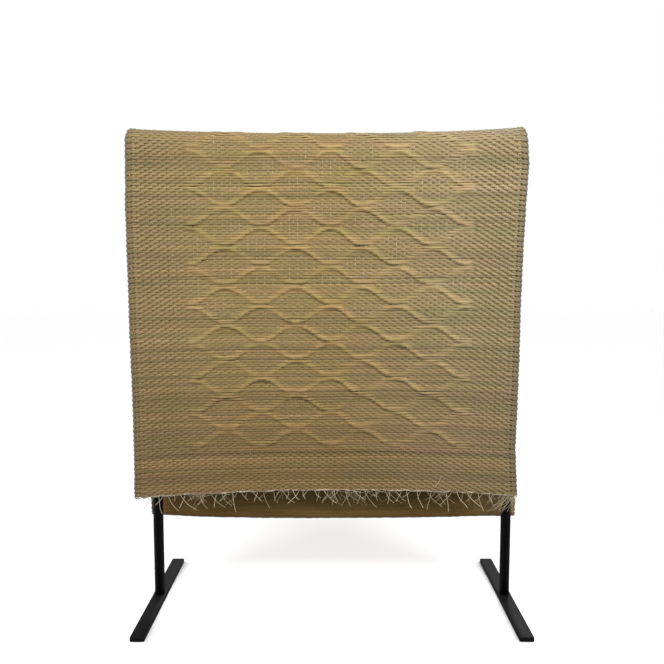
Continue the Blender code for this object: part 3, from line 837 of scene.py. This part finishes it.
def make_hem_cord(tree, name, along, width, lumps, seed, material):
    """A soft uneven cord along one hem, in paler and darker patches."""
    draw = np.random.default_rng(seed)
    x = np.linspace(-MAT_WIDTH / 2, MAT_WIDTH / 2, HEM_POINTS)
    loose = smoothed(draw, len(x), LUMP_RUN)
    uneven_along = along + lumps * HEM_WANDER * smoothed(draw, len(x), WANDER_RUN)
    path = cord_path(x, uneven_along, lumps * CORD_WANDER * loose, 0.0, 1.0 + lumps * HEM_SWELL * loose)
    patches = HEM_PATCHES * smoothed(draw, len(x), PATCH_RUN)
    tones = np.clip(draw.uniform(*HEM_TONES, len(x)) + patches, 0.0, 1.0)
    return lay_cords(tree, name, [path], tones, width, CORD_SIDES, material)


def sheet_faces(count_along, count_x):
    """Faces of a closed sheet of two grids: those of its two sides, then its rim."""
    grid = np.arange(count_along * count_x).reshape(count_along, count_x)
    quads = np.stack((grid[:-1, :-1], grid[:-1, 1:], grid[1:, 1:], grid[1:, :-1]), axis=-1).reshape(-1, 4)
    sides = np.stack((quads, quads[:, ::-1] + grid.size), axis=1).reshape(-1, 4)
    around = np.concatenate((grid[0], grid[1:, -1], grid[-1, -2::-1], grid[-2:0:-1, 0]))
    following = np.roll(around, -1)
    rim = np.stack((following, around, around + grid.size, following + grid.size), axis=-1)
    return np.concatenate((sides, rim)).tolist()


def make_ground(material):
    """The closed sheet inside the weave, which no light passes."""
    inner = np.linspace(-HOLE_LINE + HOLE_INSET, HOLE_LINE - HOLE_INSET, GROUND_COLUMNS)
    rim = HOLE_LINE + np.array(HOLE_RIM)
    in_front, on_fold, behind = GROUND_ROWS
    fold = np.linspace(-FOLD_QUARTER, FOLD_QUARTER, on_fold)
    front = np.linspace(-FRONT_LENGTH + GROUND_INSET, -FOLD_QUARTER, in_front, endpoint=False)
    back = np.linspace(BACK_LENGTH - GROUND_INSET, FOLD_QUARTER, behind, endpoint=False)[::-1]
    x, along = np.meshgrid(np.concatenate((-rim[::-1], inner, rim)), np.concatenate((front, fold, back)))
    normals = sheet_normals(x, along)
    depth = np.where(along > 0, BACK_GROUND_DEPTH, GROUND_DEPTH)
    depth = GROUND_DEPTH + (depth - GROUND_DEPTH) * ease(along / BACK_GROUND_REACH)
    places = sheet_points(x, along) - normals * depth[..., None]
    layers = [places + normals * side * GROUND_THICKNESS / 2 for side in (1, -1)]
    verts = np.concatenate([layer.reshape(-1, 3) for layer in layers])
    mesh = bpy.data.meshes.new("mat")
    mesh.from_pydata(verts.tolist(), [], sheet_faces(*x.shape))
    rounding = 1e-5
    # Painted shade where the small holes beside the selvedges are, fainter on the left and fading on the
    # fold
    hole = np.where(np.abs(np.abs(x) - HOLE_LINE) < HOLE_REACH + rounding, 1.0, 0.0)
    hole = hole * np.where(x > 0, 1.0, LEFT_HOLES) * off_fold(along, HOLE_FADE)
    mesh.attributes.new("shade", "FLOAT", "POINT").data.foreach_set("value", np.tile(hole.ravel(), 2))
    mesh.materials.append(material)
    mesh.shade_smooth()
    return new_object("mat_ground", mesh)


def strand_plan():
    """Root place, lean, length and layer of every strand, as in the solids."""
    draw = random.Random(FRINGE_SEED)
    pitch = MAT_WIDTH / FRINGE_STRANDS
    plan = []
    for i in range(FRINGE_STRANDS):
        x = -MAT_WIDTH / 2 + pitch * (i + 0.5 + draw.uniform(-STRAND_SCATTER, STRAND_SCATTER))
        side = 1 if i % 2 == 0 else -1
        swing = 0.5 + 0.5 * side * math.sin(LEAN_SWING * i + 1.0)
        lean = side * (STRAND_LEANS[0] + (STRAND_LEANS[1] - STRAND_LEANS[0]) * swing)
        longest = STRAND_LENGTHS[1] * (1.0 - STRAND_TAPER * abs(lean))
        plan.append((x, lean, draw.uniform(STRAND_LENGTHS[0], longest), side))
    return plan


def strand_points(x, lean, length, side, shares):
    """Middle line of one strand below its root, as in the solids."""
    root = sheet_points(x, -FRONT_LENGTH)
    drop = length * shares
    sway = lean * drop * (1.0 + shares) / 2
    depth = sheet_points(x + sway, -FRONT_LENGTH)[..., 1] - side * (STRAND_LAYER + LAYER_SPREAD * drop)
    return np.stack((root[0] + sway, depth, root[2] - drop), axis=-1)


def fringe_plan(draw):
    """Root place, lean, length and side of every strand: the solids' own, of which those at the bare end are
    stubs, then the frays, in clumps or lying along the hem, and the tangle at the corner."""
    half = MAT_WIDTH / 2
    first, last = FRINGE_BARE - half, half - FRAY_INSET
    plan = []
    for x, lean, length, side in strand_plan():
        plan.append((x, lean, length * (STUB_SHARE if x < first else 1.0), side))
    clumps = draw.uniform(first, last, FRAY_CLUMPS)
    for _ in range(FRAYS):
        x = float(np.clip(draw.choice(clumps) + draw.normal(0.0, CLUMP_SPREAD), first, last))
        side = 1 if draw.random() < 0.5 else -1
        length = draw.uniform(*FRAY_LENGTHS)
        lean = draw.uniform(-FRAY_LEAN, FRAY_LEAN) * (1.0 - length / (2 * FRAY_LENGTHS[1]))
        if draw.random() < LYING_SHARE:
            length = draw.uniform(*LYING_DROPS)
            lean = draw.uniform(*LYING_LEANS) * (side if abs(x) < half - LYING_INSET else -np.sign(x))
        plan.append((x, lean, length, side))
    for _ in range(CORNER_FRAYS):
        x = half - draw.uniform(0.0, CORNER_REACH)
        plan.append((x, draw.uniform(*CORNER_LEANS), draw.uniform(*CORNER_LENGTHS), 1))
    return plan


def make_fringe(tree, material):
    """Every strand of the solids with its own waver, and the thinner frays."""
    draw = np.random.default_rng(FRINGE_SEED)
    plan = fringe_plan(draw)
    shares = np.linspace(STRAND_START, 1.0, STRAND_POINTS)
    below = np.clip(shares, 0, 1)
    places = []
    for strand in plan:
        points = strand_points(*strand, shares)
        swing = np.sin(shares * draw.uniform(*WAVER_TURNS) + draw.uniform(0, ANY_TURN))
        points[:, 0] += STRAND_WAVER * draw.uniform(*WAVER_SHARES) * swing * below
        places.append(points)
    spun = (np.arange(len(plan)) < FRINGE_STRANDS)[:, None]
    fullness = np.where(spun, STRAND_FULLNESS, FRAY_FULLNESS) * (1.0 - STRAND_TAPER * below)
    tones = draw.uniform(*FRINGE_TONES, (len(plan), 1)) * np.where(spun, 1.0, FRAY_TONE)
    # Darker towards the root: painted shade under the hem
    tones = tones * np.linspace(ROOT_SHADE_TONE, 1.0, len(shares))
    facings = np.broadcast_to((0.0, -1.0, 0.0), (len(plan), len(shares), 3))
    path = make_path("fringe_path", np.array(places), facings, fullness, tones)
    return lay_strips(tree, "warp_fringe", path, STRAND_WIDTH, STRAND_WIDTH, STRAND_SIDES, material)


def make_stray(tree, material):
    """One loose warp end that lies up on the front."""
    share = np.linspace(0.0, 1.0, STRAY_POINTS)
    (x0, a0), (x1, a1) = STRAY_ENDS
    x = x0 + (x1 - x0) * share + STRAY_BEND * np.sin(STRAY_TURN * share)
    height = STRAY_LIFT + STRAY_RISE * share
    path = cord_path(x, a0 + (a1 - a0) * share, height, 0.0, 1.0 - STRAY_TAPER * share)
    return lay_cords(tree, "stray_thread", [path], STRAY_TONE, STRAND_WIDTH, STRAND_SIDES, material)


def mix_colors(tree, share, first, second, blend="MIX"):
    """A colour mix whose share and colours are sockets or plain values."""
    inputs = {0: share, 6: first, 7: second}
    return wired(tree, "ShaderNodeMix", inputs, 2, data_type="RGBA", blend_type=blend)


def multiplied(tree, first, second):
    return mix_colors(tree, 1.0, first, second, "MULTIPLY")


def product(tree, first, second):
    return wired(tree, "ShaderNodeMath", {0: first, 1: second}, operation="MULTIPLY")


def map_range(tree, value, low, high, to_low=0.0, to_high=1.0):
    inputs = {"Value": value, "From Min": low, "From Max": high, "To Min": to_low, "To Max": to_high}
    return wired(tree, "ShaderNodeMapRange", inputs)


def noise(tree, place, scale, detail=2.0, roughness=0.5):
    inputs = {"Vector": place, "Scale": scale, "Detail": detail, "Roughness": roughness}
    return wired(tree, "ShaderNodeTexNoise", inputs)


def stretched(tree, place, scale):
    return wired(tree, "ShaderNodeMapping", {"Vector": place, "Scale": scale})


def object_place(tree):
    return wired(tree, "ShaderNodeTexCoord", {}, "Object")


def point_value(tree, name):
    return wired(tree, "ShaderNodeAttribute", {}, "Fac", attribute_name=name)


def along_axis(tree, place, axis, low, high):
    """0 where one coordinate is low and 1 where it is high, in either order."""
    return map_range(tree, wired(tree, "ShaderNodeSeparateXYZ", {0: place}, axis), low, high)


def tinted(tree, color, place, region, tint):
    """Multiplies a colour by a tint in a region along one axis."""
    shown = mix_colors(tree, along_axis(tree, place, *region), (1.0, 1.0, 1.0), tint)
    return multiplied(tree, color, shown)


def color_ramp(tree, value, colors):
    ramp = wired(tree, "ShaderNodeValToRGB", {"Fac": value})
    elements = ramp.node.color_ramp.elements
    for element, (position, color) in zip(elements, (colors[0], colors[-1])):
        element.position, element.color = position, (*color, 1.0)
    for position, color in colors[1:-1]:
        elements.new(position).color = (*color, 1.0)
    return ramp


def uneven_group():
    """Lightens and darkens a colour by a fine pattern, which also comes out as a height."""
    inputs = {"Color": "Color", "Place": "Vector", "Scale": "Float", "Darkest": "Float", "Lightest": "Float"}
    outputs = {"Color": "Color", "Height": "Float"}
    group, given, result = new_group("uneven_color", "ShaderNodeTree", inputs, outputs)
    pattern = noise(group, given["Place"], given["Scale"], detail=3.0, roughness=0.6)
    level = map_range(group, pattern, NOISE_LOW, NOISE_HIGH, given["Darkest"], given["Lightest"])
    scaled = wired(group, "ShaderNodeVectorMath", {0: given["Color"]}, operation="SCALE")
    feed(group, scaled.node.inputs["Scale"], level)
    feed(group, result["Color"], scaled)
    feed(group, result["Height"], pattern)
    return group


def uneven(tree, group, color, place, scale, darkest, lightest):
    """A colour made uneven by the group, and the pattern's height."""
    inputs = {"Color": color, "Place": place, "Scale": scale, "Darkest": darkest, "Lightest": lightest}
    made = wired(tree, "ShaderNodeGroup", inputs, "Color", node_tree=group)
    return made, made.node.outputs["Height"]


def new_material(name, color, roughness, specular):
    """A plain material: itself, its node tree and its shader's inputs."""
    material = bpy.data.materials.new(name)
    material.use_nodes = True
    inputs = material.node_tree.nodes["Principled BSDF"].inputs
    inputs["Base Color"].default_value = (*color, 1.0)
    inputs["Roughness"].default_value = roughness
    inputs["Specular IOR Level"].default_value = specular
    return material, material.node_tree, inputs


def dress(tree, inputs, color, height, depth):
    """Feeds a material's colour, and a bump of a given depth in metres."""
    feed(tree, inputs["Base Color"], color)
    bump = {"Strength": BUMP_STRENGTH, "Distance": depth, "Height": height}
    feed(tree, inputs["Normal"], wired(tree, "ShaderNodeBump", bump))


def rush_material(group):
    """Dry rush: each stem has its own straw colour, which drifts along it, with fine lengthwise streaks."""
    material, tree, inputs = new_material("rush", STRAW_COLORS[2][1], roughness=0.62, specular=0.2)
    place = object_place(tree)
    jump = product(tree, point_value(tree, "tone"), STEM_JUMP)
    drift = product(tree, wired(tree, "ShaderNodeSeparateXYZ", {0: place}, "X"), STEM_DRIFT)
    stem = wired(tree, "ShaderNodeCombineXYZ", {"X": drift, "Y": jump})
    pattern = noise(tree, stem, 1.0, detail=3.0, roughness=0.6)
    straw = color_ramp(tree, map_range(tree, pattern, STEM_LOW, STEM_HIGH), STRAW_COLORS)
    streaks = stretched(tree, place, STREAK_STRETCH)
    color, height = uneven(tree, group, straw, streaks, scale=1.0, darkest=0.82, lightest=1.18)
    patch = map_range(tree, noise(tree, stretched(tree, place, PATCH_STRETCH), 1.0), NOISE_LOW, NOISE_HIGH)
    color = multiplied(tree, color, mix_colors(tree, patch, *PATCH_TINTS))
    # Each weft's own paleness, with the painted sheen of the floats
    color = multiplied(tree, color, mix_colors(tree, point_value(tree, "lightness"), *LIGHTNESS_TINTS))
    # Tints by place: painted shade low down and on the top of the fold, painted light towards +X and on the
    # drop behind, and the left side's own tint
    for region, tint in RUSH_TINTS:
        color = tinted(tree, color, place, region, tint)
    edge_share = product(tree, point_value(tree, "shade"), SELVEDGE_SHARE)
    dress(tree, inputs, mix_colors(tree, edge_share, color, SELVEDGE_COLOR), height, STREAK_BUMP)
    return material


def shade_material(group):
    """The underside of the rush, seen between the wefts: a brown darker than the straw, as painted shade in
    the gaps, with the same lengthwise streaks.
    """
    material, tree, inputs = new_material("rush_shade", GROUND_SHADE_COLOR, roughness=0.8, specular=0.1)
    place = object_place(tree)
    # Painted shade on the drop behind: darker up between the drops, paler at its hem
    drop_shade = mix_colors(tree, along_axis(tree, place, *BACK_DROP), *BACK_DROP_SHADE_TINTS)
    # Painted light on the right corner behind, which turns forward
    behind = tinted(tree, multiplied(tree, BACK_GROUND_SHADE_COLOR, drop_shade), place, CURL, CURL_LIGHT_TINT)
    color = mix_colors(tree, along_axis(tree, place, *BEHIND), GROUND_SHADE_COLOR, behind)
    streaks = stretched(tree, place, STREAK_STRETCH)
    color, height = uneven(tree, group, color, streaks, scale=0.5, darkest=0.7, lightest=1.3)
    # Painted shade in the small holes beside the selvedges, where the ground shows
    dress(tree, inputs, mix_colors(tree, point_value(tree, "shade"), color, HOLE_SHADE_COLOR), height, STREAK_BUMP)
    return material


def thread_material(group, name, dull, bright):
    """Twisted cotton, from dull to bright by each thread's own tone."""
    material, tree, inputs = new_material(name, bright, roughness=0.9, specular=0.1)
    color = mix_colors(tree, point_value(tree, "tone"), dull, bright)
    place = object_place(tree)
    color, height = uneven(tree, group, color, place, scale=220.0, darkest=0.75, lightest=1.15)
    dress(tree, inputs, color, height, THREAD_BUMP)
    return material


def paint_material(group):
    """Satin black paint with a little unevenness."""
    material, tree, inputs = new_material("black_paint", BLACK, roughness=0.5, specular=0.12)
    place = object_place(tree)
    color, height = uneven(tree, group, BLACK, place, scale=160.0, darkest=0.7, lightest=1.3)
    feed(tree, inputs["Base Color"], color)
    feed(tree, inputs["Roughness"], map_range(tree, height, NOISE_LOW, NOISE_HIGH, *PAINT_ROUGHNESS))
    return material


def smooth_copy(node, name, material):
    """A CAD node's own shape with its doubles merged and its round faces smooth."""
    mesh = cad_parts[node].data.copy()
    mesh.name = name
    bm = bmesh.new()
    bm.from_mesh(mesh)
    bmesh.ops.remove_doubles(bm, verts=bm.verts, dist=1e-6)
    bm.to_mesh(mesh)
    bm.free()
    mesh.materials.clear()
    mesh.materials.append(material)
    mesh.shade_smooth()
    mesh.set_sharp_from_angle(angle=SMOOTH_ANGLE)
    return new_object(name, mesh)


def set_camera():
    data = bpy.data.cameras.new("camera")
    data.sensor_width = CAMERA_SENSOR
    data.sensor_fit = "HORIZONTAL"
    data.lens = CAMERA_LENS
    camera = new_object("camera", data)
    camera.location = CAMERA_PLACE
    camera.rotation_euler = (CAMERA_TILT, 0.0, 0.0)
    bpy.context.scene.camera = camera


def add_light(name, kind, facing, energy):
    """A lamp that shines in one direction."""
    data = bpy.data.lights.new(name, kind)
    data.energy = energy
    lamp = new_object(name, data)
    lamp.rotation_euler = facing.to_track_quat("-Z", "Y").to_euler()
    return lamp


def light_stage():
    """Even light from three sides, and soft panels above and beside the mat's open ends."""
    for name, azimuth, height, energy in SUNS:
        side, up = math.radians(azimuth), math.radians(height)
        place = Vector((math.sin(side) * math.cos(up), -math.cos(side) * math.cos(up), math.sin(up)))
        add_light(name, "SUN", -place, energy).data.angle = SUN_SPREAD
    for name, place, target, size, power, seen in SOFTBOXES:
        box = add_light(name, "AREA", Vector(target) - Vector(place), power)
        box.location = place
        box.data.size = size
        box.visible_camera = seen


def floor_material():
    """Pale to the eye and duller in what it throws back, so that the inside of the drape stays dark."""
    material, tree, inputs = new_material("pale_floor", FLOOR_COLOR, roughness=0.9, specular=0.0)
    seen = wired(tree, "ShaderNodeLightPath", {}, "Is Camera Ray")
    feed(tree, inputs["Base Color"], mix_colors(tree, seen, FLOOR_BOUNCE, FLOOR_COLOR))
    return material


def studio_world():
    """White behind the object, and a weaker even light from all round."""
    world = bpy.data.worlds.new("studio")
    world.use_nodes = True
    tree = world.node_tree
    inputs = tree.nodes["Background"].inputs
    inputs["Color"].default_value = (1.0, 1.0, 1.0, 1.0)
    seen = wired(tree, "ShaderNodeLightPath", {}, "Is Camera Ray")
    feed(tree, inputs["Strength"], map_range(tree, seen, 0.0, 1.0, WORLD_LIGHT, WORLD_SEEN))
    return world


def lay_floor():
    mesh = bpy.data.meshes.new("floor")
    corners = [(x * FLOOR_REACH, y * FLOOR_REACH, 0.0) for x, y in ((-1, -1), (1, -1), (1, 1), (-1, 1))]
    mesh.from_pydata(corners, [], [(0, 1, 2, 3)])
    mesh.materials.append(floor_material())
    floor = new_object("floor", mesh)


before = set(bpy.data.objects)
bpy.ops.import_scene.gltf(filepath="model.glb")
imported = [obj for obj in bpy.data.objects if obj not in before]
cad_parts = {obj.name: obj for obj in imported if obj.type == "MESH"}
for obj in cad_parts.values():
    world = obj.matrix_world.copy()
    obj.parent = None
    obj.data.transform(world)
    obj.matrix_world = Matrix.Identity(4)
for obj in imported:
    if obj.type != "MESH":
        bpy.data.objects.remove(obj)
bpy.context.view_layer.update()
bpy.context.scene.view_settings.view_transform = "Standard"
set_camera()
lay_floor()
bpy.context.scene.world = studio_world()
light_stage()

unevenness = uneven_group()
rush = rush_material(unevenness)
rush_shade = shade_material(unevenness)
warp_cotton, end_cotton, hem_cotton, edge_cotton, side_cotton = [
    thread_material(unevenness, *colors) for colors in THREAD_COLORS
]
black = paint_material(unevenness)

rows = weft_rows()
strips = strip_tree()
ground = make_ground(rush_shade)
wefts = make_wefts(strips, rush, rows)
warps = make_warps(strips, warp_cotton, rows)
fringe = make_fringe(strips, end_cotton)
stray = make_stray(strips, end_cotton)
edge_cords = make_edge_cords(strips, edge_cotton, rows)
side_warps = make_side_warps(strips, side_cotton, rows)
front_hem, back_hem = [
    make_hem_cord(strips, *cord, cotton) for cord, cotton in zip(HEM_CORDS, (hem_cotton, edge_cotton))
]
threads = [warps, fringe, stray, edge_cords, side_warps, front_hem, back_hem]
stand_nodes = sorted(set(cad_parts) - {"mat", "fringe"})
stand = [smooth_copy(node, node + "_smooth", black) for node in stand_nodes]

for piece in (ground, *wefts, *threads, *stand):
    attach(piece, "root")
for piece in stand:
    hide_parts(piece.name.removesuffix("_smooth"))
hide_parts("mat")
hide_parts("fringe")
